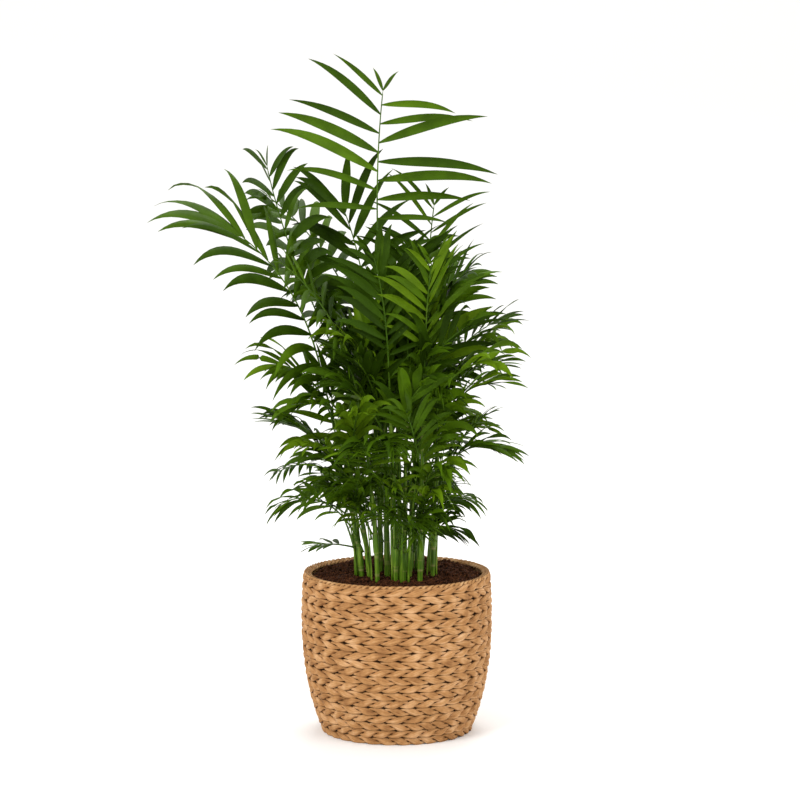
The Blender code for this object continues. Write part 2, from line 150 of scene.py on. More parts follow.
def claimed(piece, nodes=()):
    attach(piece, "root")
    if nodes:
        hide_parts(*nodes)
    return piece


# Materials

def makeLeafGreen(name, dark, light, vein):
    # living palm leaflet: a thin waxy cuticle over fine parallel veins, so a soft broad gloss
    material, tree, shader = newMaterial(name, 0.46, 0.07)
    place = addNode(tree, "TexCoord")
    mottle = addNode(  # patches about 26 mm across
        tree, "TexNoise", {"Vector": place.outputs["Object"], "Scale": 38.0, "Detail": 4.0},
    )
    tone = addNode(tree, "ValToRGB", {"Fac": mottle.outputs["Fac"]}, [(0.32, dark), (0.68, light)])
    veins = addNode(  # parallel veins, nine across a leaflet, drawn coarser than life so that they show
        tree, "TexWave", {"Vector": place.outputs["UV"], "Scale": 2.9, "Distortion": 0.4},
        bands_direction="X", wave_profile="SIN",
    )
    onVein = addNode(tree, "Math", {0: veins.outputs["Fac"], 1: 0.3}, operation="MULTIPLY")
    veined = addNode(
        tree, "Mix", {0: onVein.outputs[0], 6: tone.outputs["Color"], 7: hexColour(vein)}, data_type="RGBA",
    )
    bump = addNode(tree, "Bump", {"Strength": 0.22, "Distance": 0.4 * mm, "Height": veins.outputs["Fac"]})
    wire(tree, shader, veined.outputs[2], bump)
    return material


def makeRibGreen():
    # palm rachis: smooth and pale green, a little glossy
    material, tree, shader = newMaterial("palm rachis", 0.42)
    place = addNode(tree, "TexCoord")
    mottle = addNode(  # patches about 45 mm long
        tree, "TexNoise", {"Vector": place.outputs["Object"], "Scale": 22.0, "Detail": 3.0},
    )
    tone = addNode(
        tree, "ValToRGB", {"Fac": mottle.outputs["Fac"]},
        [(0.3, "2c4509"), (0.55, "416010"), (0.75, "627f22")],
    )
    wire(tree, shader, tone.outputs["Color"])
    return material


def makeCaneGreen():
    # living cane: smooth bright green with lengthwise streaks and pale rings where old fronds grew
    material, tree, shader = newMaterial("palm cane", 0.38, 0.25)
    place = addNode(tree, "TexCoord")
    stretched = addNode(tree, "Mapping", {"Vector": place.outputs["Object"], "Scale": (1.0, 1.0, 0.06)})
    streaks = addNode(  # about 2.4 mm wide and 40 mm long
        tree, "TexNoise", {"Vector": stretched.outputs["Vector"], "Scale": 420.0, "Detail": 3.0},
    )
    green = addNode(
        tree, "ValToRGB", {"Fac": streaks.outputs["Fac"]},
        [(0.3, "365608"), (0.5, "557a14"), (0.7, "86a236")],
    )
    axes = addNode(tree, "SeparateXYZ", {"Vector": place.outputs["UV"]})
    ringed = addNode(
        tree, "Mix", {0: axes.outputs["X"], 6: green.outputs["Color"], 7: hexColour("b9a874")},
        data_type="RGBA",
    )
    bump = addNode(tree, "Bump", {"Strength": 0.25, "Distance": 0.4 * mm, "Height": streaks.outputs["Fac"]})
    wire(tree, shader, ringed.outputs[2], bump)
    return material


def makeHyacinth(name, shadow, dark, middle, light):
    # dried water hyacinth stalk: pressed flat and twisted, matt, with lengthwise creases and painted shade
    # along both edges
    material, tree, shader = newMaterial(name, 0.68)
    place = addNode(tree, "TexCoord")
    stretched = addNode(  # creases about 1 mm apart and 20 mm long
        tree, "Mapping", {"Vector": place.outputs["UV"], "Scale": (2.2, 26.0, 1.0)},
    )
    fibres = addNode(tree, "TexNoise", {"Vector": stretched.outputs["Vector"], "Scale": 1.0, "Detail": 5.0})
    patches = addNode(  # about 16 mm across
        tree, "TexNoise", {"Vector": place.outputs["Object"], "Scale": 62.0, "Detail": 2.0},
    )
    both = addNode(tree, "Math", {0: fibres.outputs["Fac"], 1: patches.outputs["Fac"]}, operation="ADD")
    half = addNode(tree, "Math", {0: both.outputs[0], 1: 0.5}, operation="MULTIPLY")
    tone = addNode(tree, "ValToRGB", {"Fac": half.outputs[0]}, [(0.34, dark), (0.5, middle), (0.66, light)])
    axes = addNode(tree, "SeparateXYZ", {"Vector": place.outputs["UV"]})
    turn = addNode(tree, "Math", {0: axes.outputs["Y"], 1: tau}, operation="MULTIPLY")
    across = addNode(tree, "Math", {0: turn.outputs[0]}, operation="COSINE")
    outer = addNode(tree, "Math", {0: across.outputs[0]}, operation="ABSOLUTE")
    edgeShade = addNode(  # painted shade along both edges of the strand, where the grooves between strands fall
        tree, "MapRange", {"Value": outer.outputs[0], "From Min": 0.8, "From Max": 1, "To Max": 0.85},
    )
    edgeShaded = addNode(
        tree, "Mix", {0: edgeShade.outputs[0], 6: tone.outputs["Color"], 7: hexColour(shadow)}, data_type="RGBA",
    )
    bump = addNode(tree, "Bump", {"Strength": 0.9, "Distance": 0.9 * mm, "Height": fibres.outputs["Fac"]})
    wire(tree, shader, edgeShaded.outputs[2], bump)
    return material


def makePlain(name, roughness, scale, dark, light, bumpDepth):
    # one matt stuff whose tone and relief follow the same noise; its grain is 1 / scale metres
    material, tree, shader = newMaterial(name, roughness)
    place = addNode(tree, "TexCoord")
    grain = addNode(tree, "TexNoise", {"Vector": place.outputs["Object"], "Scale": scale, "Detail": 6.0})
    tone = addNode(tree, "ValToRGB", {"Fac": grain.outputs["Fac"]}, [(0.35, dark), (0.68, light)])
    bump = addNode(tree, "Bump", {"Strength": 0.6, "Distance": bumpDepth, "Height": grain.outputs["Fac"]})
    wire(tree, shader, tone.outputs["Color"], bump)
    return material


# the first colour of each twine is the painted shade along its strands' edges
hyacinth = makeHyacinth("twined water hyacinth", "51331a", "845933", "b28251", "d6ab7e")
ropeStraw = makeHyacinth("two-ply straw rope", "5c3d20", "8f6339", "b98a58", "d6b082")
# the uprights' near-black is painted shade for the gaps between the rows
uprightShadeBrown = makePlain("uprights in painted shade", 0.9, 300.0, "1c1008", "38230f", 0.4 * mm)
peat = makePlain("peat compost", 0.95, 420.0, "1b0b04", "55301a", 1.2 * mm)
fibreBrown = makePlain("peat fibre", 0.9, 250.0, "3a1f0f", "7c4c2a", 0.3 * mm)
ribGreen = makeRibGreen()
caneGreen = makeCaneGreen()
leafTones = {  # from the shaded heart to the fresh tips: dark, light and vein
    "deep": ("182b02", "273f03", "3d530d"),
    "dark": ("1f3602", "2f4a04", "476010"),
    "middle": ("294203", "3c5a05", "567014"),
    "fresh": ("365203", "496a06", "65801a"),
    "bright": ("446203", "5a7a08", "7a9124"),
}


# Basket

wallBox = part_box("basket_wall")
basket = {
    "height": wallBox[1].z,
    "belly": wallBox[1].x,
    "bellyHeight": 145 * mm,
    "footRadius": 94 * mm,
    "footCurve": 2.3,
    "rimDrawIn": 2.1 * mm,
    "wall": 10.5 * mm,
    "rows": 20,
    "rowSeed": 100,
    "turns": 16,  # full turns of the two strands in one row, two lozenges each
    "swing": 2.6 * mm,  # how far a strand goes up and down
    "depth": 2.1 * mm,  # and in and out
    "thin": 2.6 * mm,  # half the strand's thickness
    "pinched": 2.3 * mm,  # half its width where it goes under
    "full": 5.0 * mm,  # half its width where it shows
    "slant": 0.75,  # how much later its upper edge goes under than its middle, in radians
    "swell": 1.2,  # how late it widens where it shows
    "widths": (0.9, 1.1),  # against the usual one
    "drops": (-0.35, 0.35),  # in mm, up or down
    "crease": 0.08,
    "creases": 3,
    "drift": ((0.35, 0), (0.4, 2), (0.3, 5)),  # in radians, and how often it comes and goes in a round
    "stepsATurn": 16,
    "sides": 10,
    "lowest": 0.25 * mm,
    "bottomPitch": 9 * mm,
    "bottomTurns": 3,  # the fewest in a ring of the bottom
    "bottomSeed": 60,
}
strandSizes = [basket[key] for key in ("swing", "depth", "thin", "pinched", "full")]
strandInset = basket["depth"] + basket["thin"]  # from the wall's face to the middle of a row


def basketRadius(height):
    belly = basket["belly"]
    if height < basket["bellyHeight"]:
        inward = (1 - max(height, 0) / basket["bellyHeight"]) ** basket["footCurve"]
        return belly - (belly - basket["footRadius"]) * inward
    above = (height - basket["bellyHeight"]) / (basket["height"] - basket["bellyHeight"])
    return belly - basket["rimDrawIn"] * above**2


def addTwine(patch, seed, turns, radiusAt, heightAt, flat, lean, sizes):
    # two strands twisted round each other in a ring; flat lays the ring's face down instead of outwards
    draw = random.Random(seed)
    swing, depth, thin, pinched, full = sizes
    steps = turns * basket["stepsATurn"]
    for strand in (0, 1):
        widths = [draw.uniform(*basket["widths"]) for _ in range(turns)]
        drops = [draw.uniform(*basket["drops"]) * mm for _ in range(turns)]
        creases = [draw.uniform(0, tau) for _ in range(turns)]
        if strand == 0:  # both strands drift together
            offsets = [draw.uniform(0, tau) for _ in basket["drift"]]
        rows = []
        for step in range(steps + 1):
            around = tau * (step % steps) / steps
            waves = zip(basket["drift"], offsets)
            drift = sum(size * sin(often * around + offset) for (size, often), offset in waves)
            phase = lean * turns * around + strand * pi + drift
            lozenge = round(phase / tau) % turns
            shownness = max(0, cos(phase))
            outward = Vector((cos(around), sin(around), 0))
            tangent = Vector((-sin(around), cos(around), 0))
            rise = swing * sin(phase) + drops[lozenge] * shownness
            face, cross = (-up, outward) if flat else (outward, up)
            radius = radiusAt(rise)
            centre = outward * radius + up * heightAt(rise)
            slope = atan2(swing * turns * lean * cos(phase), radius)
            across = cross * cos(slope) - tangent * sin(slope)
            half = blend(pinched, full, shownness ** basket["swell"]) * blend(1, widths[lozenge], shownness)
            row = []
            uvRow = []
            for k in range(basket["sides"]):
                turn = tau * k / basket["sides"]
                ripple = sin(basket["creases"] * turn + creases[lozenge])
                crease = 1 + basket["crease"] * ripple * shownness
                out = depth * cos(phase - basket["slant"] * cos(turn)) + thin * crease * sin(turn)
                spot = centre + across * half * cos(turn) + face * out
                spot.z = max(spot.z, basket["lowest"])
                row.append(spot)
                uvRow.append((lean * turns * step / steps + strand / 2, k / basket["sides"]))
            rows.append((row, uvRow))
        addRows(patch, rows, ring=True)


def makeRows():
    rowHeight = basket["height"] / basket["rows"]
    for number in range(basket["rows"]):
        middle = (number + 0.5) * rowHeight
        lean = 1 if (basket["rows"] - number) % 2 else -1  # the top row leans to the right
        patch = newPatch()
        addTwine(
            patch, basket["rowSeed"] + number, basket["turns"],
            lambda rise: basketRadius(middle + rise) - strandInset, lambda rise: middle + rise, False, lean,
            strandSizes,
        )
        pieceFrom(
            f"twined_row_{number + 1:02d}", patch, hyacinth,
            ("basket_wall",) if number == 0 else (),
        )


rim = {
    "turns": 46,
    "shares": (1.0, 0.9, 1.2, 1.0, 1.6),  # the strand's sizes against half the cord's height
    "proud": 0.8 * mm,
    "pressed": 1.1 * mm,  # down on the row below it
    "inward": (0, 4.2 * mm),  # a second rope covers the wall's inner edge
    "fall": 0.25,  # how much lower a rope lies for each mm inward
    "seed": 90,
}


def makeRimRope():
    low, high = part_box("rim_cord")
    thick = (high.z - low.z) / 2
    middle = high.x - thick + rim["proud"]
    level = low.z + thick - rim["pressed"]
    sizes = [thick * share for share in rim["shares"]]
    patch = newPatch()
    for number, inward in enumerate(rim["inward"]):
        addTwine(
            patch, rim["seed"] + number, rim["turns"], lambda rise: middle - inward,
            lambda rise: level - inward * rim["fall"] + rise, False, 1, sizes,
        )
    pieceFrom("rim_rope", patch, ropeStraw, ("rim_cord",))


def makeBottom():
    # the base is twined in rings from the foot of the side to the middle
    pitch = basket["bottomPitch"]
    level = strandInset + basket["lowest"]
    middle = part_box("basket_base")[1].x - pitch / 2
    patch = newPatch()
    number = 0
    while middle > pitch:
        turns = max(basket["bottomTurns"], round(basket["turns"] * middle / basket["belly"]))
        addTwine(
            patch, basket["bottomSeed"] + number, turns, lambda rise: middle + rise, lambda rise: level, True,
            1 if number % 2 else -1, strandSizes,
        )
        middle -= pitch
        number += 1
    pieceFrom("basket_bottom", patch, hyacinth, ("basket_base",))


uprights = {"corners": 144, "splits": 3, "short": 3 * mm, "thick": 0.8 * mm}


def makeUprights():
    # a skin in the middle of the wall where the uprights run, coloured near-black as painted shade in the
    # gaps between the rows
    bpy.ops.mesh.primitive_cylinder_add(
        vertices=uprights["corners"], radius=basket["belly"], depth=basket["height"] - uprights["short"],
        end_fill_type="NOTHING", location=(0, 0, basket["height"] / 2),
    )
    skin = bpy.context.object
    bpy.ops.object.transform_apply(location=True)
    switchTo("EDIT")
    bpy.ops.mesh.select_all(action="SELECT")
    for _ in range(uprights["splits"]):
        bpy.ops.mesh.subdivide(number_cuts=1)
    switchTo("OBJECT")
    for vertex in skin.data.vertices:
        out = Vector((vertex.co.x, vertex.co.y, 0)).normalized()
        vertex.co = out * (basketRadius(vertex.co.z) - strandInset) + up * vertex.co.z
    thicken = skin.modifiers.new("thickness", "SOLIDIFY")
    thicken.thickness = uprights["thick"]
    thicken.offset = 0
    bpy.ops.object.modifier_apply(modifier=thicken.name)
    finishMesh(skin, "basket_uprights", uprightShadeBrown)
    claimed(skin)


# Soil

soil = {
    "level": 196 * mm,
    "slope": 0.065,
    "lumps": 4.5 * mm,
    "lumpScale": 55,  # lumps about 18 mm across
    "grain": 1.7 * mm,
    "grainScale": 320,  # grains about 3 mm across
    "calm": 62 * mm,
    "sunk": 7 * mm,
    "cells": 150,
    "grid": 2.08,  # the width of the grid that the surface is cut from, against the soil's radius
    "intoWall": 0.6 * mm,
    "skirt": 14 * mm,
    "looseInset": 1.5 * mm,  # how far crumbs and fibres keep from the wall
    "crumbs": 2600,
    "crumbSizes": (0.7, 0.9, 1.2, 1.8, 2.8),  # radius in mm
    "crumbShape": (1.2, 1, 0.75),
    "fibres": 900,
    "fibreInset": 4 * mm,
    "fibreSteps": 5,
    "fibreBend": 1.6,
    "fibreLength": (4, 13),  # in mm, as are the next two
    "fibreThick": (0.25, 0.55),
    "fibreLift": (0.4, 1.6),
    "seed": 5,
}
soilEdge = basketRadius(basket["height"]) - basket["wall"]


def soilHeight(x, y):
    return soil["level"] + soil["slope"] * y


def roughSoil(x, y):
    out = hypot(x, y)
    lump = noise.fractal(Vector((x, y, 0)) * soil["lumpScale"], 1.0, 2.0, 3) * soil["lumps"]
    grain = noise.noise(Vector((x, y, 3)) * soil["grainScale"]) * soil["grain"]
    calm = min(1, 0.25 + (out / soil["calm"]) ** 4)  # it is smoother round the canes
    sunk = soil["sunk"] * min(1, out / soilEdge) ** 9  # it has settled along the wall
    return soilHeight(x, y) + (lump + grain) * calm - sunk


def makeSoil():
    edge = soilEdge + soil["intoWall"]
    width = soil["grid"] * edge
    bpy.ops.mesh.primitive_grid_add(
        x_subdivisions=soil["cells"], y_subdivisions=soil["cells"], size=width, location=(0, 0, 0),
    )
    ground = bpy.context.object
    switchTo("EDIT")
    bpy.ops.mesh.select_mode(type="VERT")
    bpy.ops.mesh.select_all(action="DESELECT")
    switchTo("OBJECT")
    for vertex in ground.data.vertices:
        vertex.select = vertex.co.length > edge
    switchTo("EDIT")
    bpy.ops.mesh.delete(type="VERT")
    switchTo("OBJECT")
    for vertex in ground.data.vertices:
        if vertex.co.length > edge - width / soil["cells"]:  # the outermost ones go out to the wall
            vertex.co *= edge / vertex.co.length
        vertex.co.z = roughSoil(vertex.co.x, vertex.co.y)
    switchTo("EDIT")
    bpy.ops.mesh.select_all(action="SELECT")
    bpy.ops.mesh.region_to_loop()
    bpy.ops.mesh.extrude_region_move(TRANSFORM_OT_translate={"value": (0, 0, -soil["skirt"])})
    switchTo("OBJECT")
    finishMesh(ground, "soil_surface", peat)
    claimed(ground, ("soil",))


def soilSpot(draw, edge):
    radius = edge * sqrt(draw.random())
    turn = draw.uniform(0, tau)
    return radius * cos(turn), radius * sin(turn)


def makeCrumbs(draw):
    bpy.ops.mesh.primitive_ico_sphere_add(subdivisions=1, radius=1)
    stone = bpy.context.object
    corners = [vertex.co.copy() for vertex in stone.data.vertices]
    faces = [tuple(polygon.vertices) for polygon in stone.data.polygons]
    bpy.data.objects.remove(stone)
    wide, deep, high = soil["crumbShape"]
    patch = newPatch()
    for _ in range(soil["crumbs"]):
        x, y = soilSpot(draw, soilEdge - soil["looseInset"])
        size = draw.choice(soil["crumbSizes"]) * mm * draw.uniform(0.8, 1.2)
        place = Vector((x, y, roughSoil(x, y) + size * 0.4))
        angle = draw.uniform(0, tau)
        spin = Matrix.Rotation(angle, 3, Vector((draw.random(), draw.random(), 0.3)).normalized())
        first = len(patch.points)
        for corner in corners:
            bumped = corner * draw.uniform(0.7, 1.2)
            shaped = Vector((bumped.x * wide, bumped.y * deep, bumped.z * high))
            patch.points.append(place + spin @ shaped * size)
            patch.uvs.append((corner.x, corner.y))
        patch.faces += [tuple(first + index for index in face) for face in faces]
    pieceFrom("soil_crumbs", patch, peat)


def makeFibres(draw):
    edge = soilEdge - soil["looseInset"]
    steps = soil["fibreSteps"]
    patch = newPatch()
    for _ in range(soil["fibres"]):
        point = Vector((*soilSpot(draw, edge - soil["fibreInset"]), 0))
        heading = draw.uniform(0, tau)
        bend = draw.uniform(-soil["fibreBend"], soil["fibreBend"])
        length = draw.uniform(*soil["fibreLength"]) * mm
        thick = draw.uniform(*soil["fibreThick"]) * mm
        rows = []
        for step in range(steps + 1):
            lift = sin(pi * step / steps) * draw.uniform(*soil["fibreLift"]) * mm
            centre = Vector((point.x, point.y, roughSoil(point.x, point.y) + thick + lift))
            along = Vector((cos(heading), sin(heading), 0))
            side = along.cross(up) * thick
            over = up * thick
            points = [centre + side, centre + over, centre - side, centre - over]
            rows.append((points, [(0, 0), (0, 1), (1, 0), (1, 1)]))
            point = point + along * length / steps
            if point.length > edge:
                point = point.normalized() * edge
            heading += bend / steps
        addRows(patch, rows, ring=True, capped=True)
    pieceFrom("soil_fibres", patch, fibreBrown)


# Canes and fronds, grown by the rule of the solids

gap = 0.3 * mm
crown = {
    "canes": (  # in mm: x and y on the soil, height above it, and how far the tip leans out in x and y
        (-24, -34, 190, -16, -8), (-1, -38, 205, -6, -16), (9, -31, 225, 4, -4), (29, -33, 215, 4, -12),
        (45, -13, 200, 8, -4), (-44, -8, 150, -30, 0), (-34, -15, 200, -43, -5), (-12, -10, 250, -3, 2),
        (16, -11, 215, 12, 2), (-20, 11, 240, -10, 8), (4, 12, 235, -4, 10), (31, 11, 225, 10, 8),
        (-12, 34, 215, -10, 22), (19, 33, 220, 10, 22),
    ),
    "caneFoot": 3.7 * mm, "caneTip": 2.3 * mm, "caneBend": 1.5, "caneSteps": 4, "caneSides": 6,
    "ribSteps": 40, "ribBend": 1.6, "petioleSteps": 3, "ribWidth": 3.2 * mm, "ribTipWidth": 1.5 * mm,
    "ribDepth": 2.8 * mm, "ribTipDepth": 1.6 * mm, "ribClearance": 0.45 * mm, "tipOnset": 0.2,
    "freeFoot": 0.06, "leafSteps": 12, "spreadFoot": 80, "longestAt": 0.48, "footLeaf": 0.6, "leafLift": 0.12,
    "turns": [0] + [sign * step for step in range(3, 78, 3) for sign in (1, -1)],
    "seed": 11, "room": 0.32, "leanLeft": 0.26, "azimuths": 14, "shares": 0.06, "lengths": (0.86, 1.1),
    "fork": 0.09, "forkTurn": 78, "forkRise": 5, "forkLength": 0.86, "forkLeaf": 0.9, "forkLeaves": 0.75,
}
usual = dict(
    share=1, bare=0.35, leaves=16, leaf=90, ends=0.55, spread=60, roll=0, skew=0, sag=0.4, first=None,
    slender=None,
)
shownFronds = {  # angles in degrees, lengths in mm
    "frond_top": dict(cane=7, azimuth=180, rise=(85, 96.5), length=354, bare=0.54, leaves=13, leaf=146,
        ends=0.5, roll=90, skew=-14, sag=0.32),
    "frond_right_top": dict(cane=11, azimuth=0, rise=(94, 82), length=236, bare=0.42, leaves=14, leaf=94,
        ends=0.75, roll=-90, sag=0.3),
    "frond_left_top": dict(cane=9, azimuth=172, rise=(88, 69), length=215, bare=0.3, leaf=112, ends=0.9,
        spread=28, roll=70),
    "frond_far_left": dict(cane=6, azimuth=182, rise=(81, 36), length=259, bare=0.1, leaves=24, leaf=136,
        ends=1, spread=24, roll=-35, sag=0.75),
    "frond_upper_left": dict(cane=9, share=0.8, azimuth=172, rise=(61, 78), length=345, bare=0.4, leaves=24,
        leaf=98, ends=0.75, spread=45, roll=40, sag=0.5),
    "frond_back_left": dict(cane=12, azimuth=170, rise=(74, 34), length=300, bare=0.4, leaves=20, leaf=105,
        roll=-15, sag=0.6),
    "frond_fore_left": dict(cane=0, azimuth=194, rise=(80, 36), length=235, leaves=18, leaf=96, roll=-20,
        sag=0.6),
    "frond_left_pair": dict(cane=5, azimuth=188, rise=(42, 22), length=62, bare=0.4, leaves=7, leaf=78,
        ends=1, spread=14),
    "frond_low_left": dict(cane=6, share=0.6, azimuth=188, rise=(36, -35), length=98, bare=0.25, leaf=56,
        ends=0.8, sag=0.9),
    "frond_foot_left": dict(cane=5, share=0.25, azimuth=185, rise=(12, -8), length=46, leaves=7, leaf=42,
        ends=0.9, spread=35),
    "frond_foot_left_back": dict(cane=5, share=0.5, azimuth=172, rise=(40, 0), length=48, leaves=9, leaf=38,
        ends=0.8, sag=0.8),
    "frond_front_left": dict(cane=0, share=0.58, azimuth=262, rise=(72, 5), length=88, leaves=12, leaf=70,
        ends=0.9, sag=0.6),
    "frond_front_foot": dict(cane=0, share=0.32, azimuth=215, rise=(62, 0), length=62, leaves=10, leaf=46,
        sag=0.6),
    "frond_front_right": dict(cane=3, share=0.24, azimuth=262, rise=(58, -40), length=40, leaves=5, leaf=40,
        ends=0.9, spread=30, sag=0.9),
    "frond_upper_right": dict(cane=11, share=0.75, azimuth=-6, rise=(84, 26), length=170, bare=0.45, leaf=70,
        ends=1, spread=38, roll=-20),
    "frond_mid_right": dict(cane=4, azimuth=-4, rise=(68, 12), length=92, leaf=72, ends=0.9, spread=40),
    "frond_low_right": dict(cane=4, share=0.62, azimuth=-12, rise=(66, 38), length=94, leaf=50, ends=0.9,
        spread=32),
    "frond_far_right": dict(cane=4, share=0.76, azimuth=24, rise=(24, -10), length=62, bare=0.5, leaves=7,
        leaf=72, ends=1, spread=18, sag=0.5),
    "frond_foot_right": dict(cane=4, share=0.32, azimuth=-2, rise=(74, 58), length=52, leaves=9, leaf=38,
        ends=0.8),
    "frond_front_low_right": dict(cane=3, share=0.45, azimuth=-28, rise=(58, 0), length=48, leaves=9,
        leaf=44, ends=0.9),
}
tiers = {
    "high": dict(share=1, rise=(86, 44), length=212, leaf=92, leaves=17, sag=0.5),
    "middle": dict(share=0.65, rise=(76, 20), length=170, leaves=15, leaf=84),
    "low": dict(share=0.2, rise=(66, -28), length=104, leaves=11, leaf=62, sag=0.7),
}
tierTurn = {"low": 0, "middle": 28, "high": -20}
finer = {  # how scene blades differ from the solids' ones; a pair is a lowest and a highest value
    "leaflets": 1.3,  # how many more of them than the solids of the inner fronds have
    "slenderness": 9.6,  # length against width
    "slender": {
        "frond_top": 11.5, "frond_right_top": 14, "frond_upper_left": 7.5, "frond_back_left": 7.5,
        "frond_left_top": 8.5, "frond_foot_left": 5,
    },
    "swept": {"frond_right_top": 24},  # degrees towards the tip
    "tones": {"frond_top": "middle", "frond_right_top": "middle"},
    "endPair": {"frond_far_left": (0.92, 0.35)},  # it reaches furthest of all, nearly side by side
    "unnamedSlender": (7, 10),
    "unnamedSwept": (8, 38),
    "unnamedSag": (0.7, 1.7),
    "unnamedSpread": (0.55, 1),
    "unnamedRoll": 38,  # how far the blade may turn about its rib
    "level": 1.6, "levels": 1.3, "innerLevel": 1.1,  # which tone, counted from the deepest
    "toneSteps": (-1, 0, 0, 0, 1),
    "wander": 12, "lift": (-0.1, 0.14), "lengths": (0.86, 1.04), "widths": (0.85, 1.12), "sags": (0.75, 1.2),
    "rootOut": 0.2, "endSpread": 26, "endSlender": 6.5,
    "widest": 0.42, "rootWidth": 0.16, "tipWidth": 0.015,
    "earlyFall": 0.35, "lateFall": 1.15, "fallBend": 2.4,
    "cup": 0.3, "cups": (0.5, 1.4), "cupBend": 1.3,
    "twist": 55, "twistBend": 1.5,
    "ribShare": 0.88,  # the real rib against the solid's
    "ribSteps": 44, "ribSides": 8, "ribEnd": 0.4, "footSwell": 0.9, "footLength": 0.03,
    "dealSeed": 77, "bladeSeed": 500,
}
inner = {  # young fronds in the heart, which fill it within the reach of the others
    "seed": 41, "aCane": 4, "share": (0.2, 0.98), "turn": 95, "size": (0.75, 1.1),
    "rise": ((55, 84), (-25, 50)), "length": (46, 118), "leaf": (48, 82), "leaves": (8, 10, 12),
    "blade": dict(bare=0.3, ends=0.85, spread=42, sag=0.7),
}
heart = {  # and upright ones near the tips of the middle canes
    "canes": range(5, 13), "aCane": 2, "share": (0.55, 0.95),
    "rise": ((72, 86), (60, 84)), "length": (90, 150), "leaf": (80, 112), "leaves": (6, 8, 10),
    "blade": dict(bare=0.35, ends=0.9, spread=20, sag=0.25, slender=7.5),
}


def caneAt(cane, share):
    x, y, height, leanX, leanY = (value * mm for value in crown["canes"][cane])
    bend = crown["caneBend"]
    lean = Vector((leanX, leanY, 0))
    foot = Vector((x, y, soilHeight(x, y) + soil["slope"] * crown["caneFoot"] + gap))
    direction = lean * bend * max(share, 0) ** (bend - 1) + up * height
    point = foot + lean * max(share, 0) ** bend + up * height * share
    return point, direction.normalized(), blend(crown["caneFoot"], crown["caneTip"], share)


def ringRound(point, direction, radius, sides):
    turn = up.rotation_difference(direction)
    angles = [tau * k / sides for k in range(sides)]
    return [point + turn @ Vector((radius * cos(a), radius * sin(a), 0)) for a in angles]


def planFronds():
    rows = list(shownFronds.items())
    taken = [(row["cane"], row.get("share", 1)) for name, row in rows]
    draw = random.Random(crown["seed"])
    for tier, common in tiers.items():
        for cane, (x, y, height, leanX, leanY) in enumerate(crown["canes"]):
            outward = degrees(atan2(y + leanY, x + leanX))
            azimuth = outward + tierTurn[tier] + draw.uniform(-crown["azimuths"], crown["azimuths"])
            leftward = -cos(radians(azimuth))
            length = common["length"] * draw.uniform(*crown["lengths"]) * (1 + crown["leanLeft"] * leftward)
            share = common["share"]
            if tier != "high":
                share += draw.uniform(-crown["shares"], crown["shares"])
            if any(cane == other and abs(share - used) < crown["room"] for other, used in taken):
                continue
            taken.append((cane, share))
            row = dict(common, cane=cane, share=share, azimuth=azimuth, length=length)
            if tier == "high":
                rows.append((f"frond_high_{cane + 1:02d}", row))
                continue
            name = f"fronds_{tier}_{cane + 1:02d}"
            rows.append((name, row))
            swing = crown["forkTurn"] if cane % 2 else -crown["forkTurn"]
            rows.append((name + "_second", dict(
                row, first=name, azimuth=azimuth + swing, length=length * crown["forkLength"],
                rise=[angle + crown["forkRise"] for angle in row["rise"]],
                leaf=row["leaf"] * crown["forkLeaf"], leaves=round(row["leaves"] * crown["forkLeaves"]),
            )))
    fronds = [
        SimpleNamespace(name=name, shown=name in shownFronds, inner=False, **{**usual, **row})
        for name, row in rows
    ]
    named = {frond.name: frond for frond in fronds}
    for number, frond in enumerate(fronds):
        frond.number = number
        frond.first = named.get(frond.first)
    return fronds


def ribCurve(frond, turn=0):
    azimuth = radians(frond.azimuth + turn)
    outward = Vector((cos(azimuth), sin(azimuth), 0))
    point, direction, radius = caneAt(frond.cane, frond.share)
    atTip = frond.share == 1
    if frond.first:
        point, along, side, normal = onRib(frond.first.curve, crown["fork"])
        point = point - normal * crown["ribDepth"] / 4
    else:
        point = point + (direction * 1.5 * gap if atTip else outward * (radius + 1.4 * gap))
    curve = []
    for step in range(crown["ribSteps"] + 1):
        share = step / crown["ribSteps"]
        rise = radians(blend(*frond.rise, share ** crown["ribBend"]))
        along = outward * cos(rise) + up * sin(rise)
        if atTip:
            along = along.lerp(direction, max(0, 1 - share / crown["tipOnset"])).normalized()
        side = outward.cross(up)
        side = (side - along * side.dot(along)).normalized()
        side = Matrix.Rotation(radians(frond.roll), 3, along) @ side
        curve.append((point, along, side))
        point = point + along * (frond.length * mm / crown["ribSteps"])
    return curve


def onRib(curve, share):
    place = min(share * crown["ribSteps"], crown["ribSteps"] - 1e-6)
    low = int(place)
    point, along, side = (blend(a, b, place - low) for a, b in zip(curve[low], curve[low + 1]))
    along.normalize()
    side = (side - along * side.dot(along)).normalized()
    return point, along, side, side.cross(along)


def ribRing(curve, share, grown=0):
    point, along, side, normal = onRib(curve, share)
    half = blend(crown["ribWidth"], crown["ribTipWidth"], share) / 2 + grown
    depth = blend(crown["ribDepth"], crown["ribTipDepth"], share) + grown
    top = point + normal * grown
    return [top - side * half, top + side * half, point - normal * depth]


def prism(rings):
    size = len(rings[0])
    corners = [corner for ring in rings for corner in ring]
    faces = [tuple(reversed(range(size)))]
    for low in range(0, size * (len(rings) - 1), size):
        high = low + size
        faces += [(low + k, low + (k + 1) % size, high + (k + 1) % size, high + k) for k in range(size)]
    last = size * (len(rings) - 1)
    faces.append(tuple(range(last, last + size)))
    return corners, faces


def ribShape(frond, curve, start=0, grown=0):
    petiole = [frond.bare * step / crown["petioleSteps"] for step in range(crown["petioleSteps"])]
    blade = [blend(frond.bare, 1, step / frond.leaves) for step in range(frond.leaves + 1)]
    return prism([ribRing(curve, share, grown) for share in petiole + blade if share >= start])


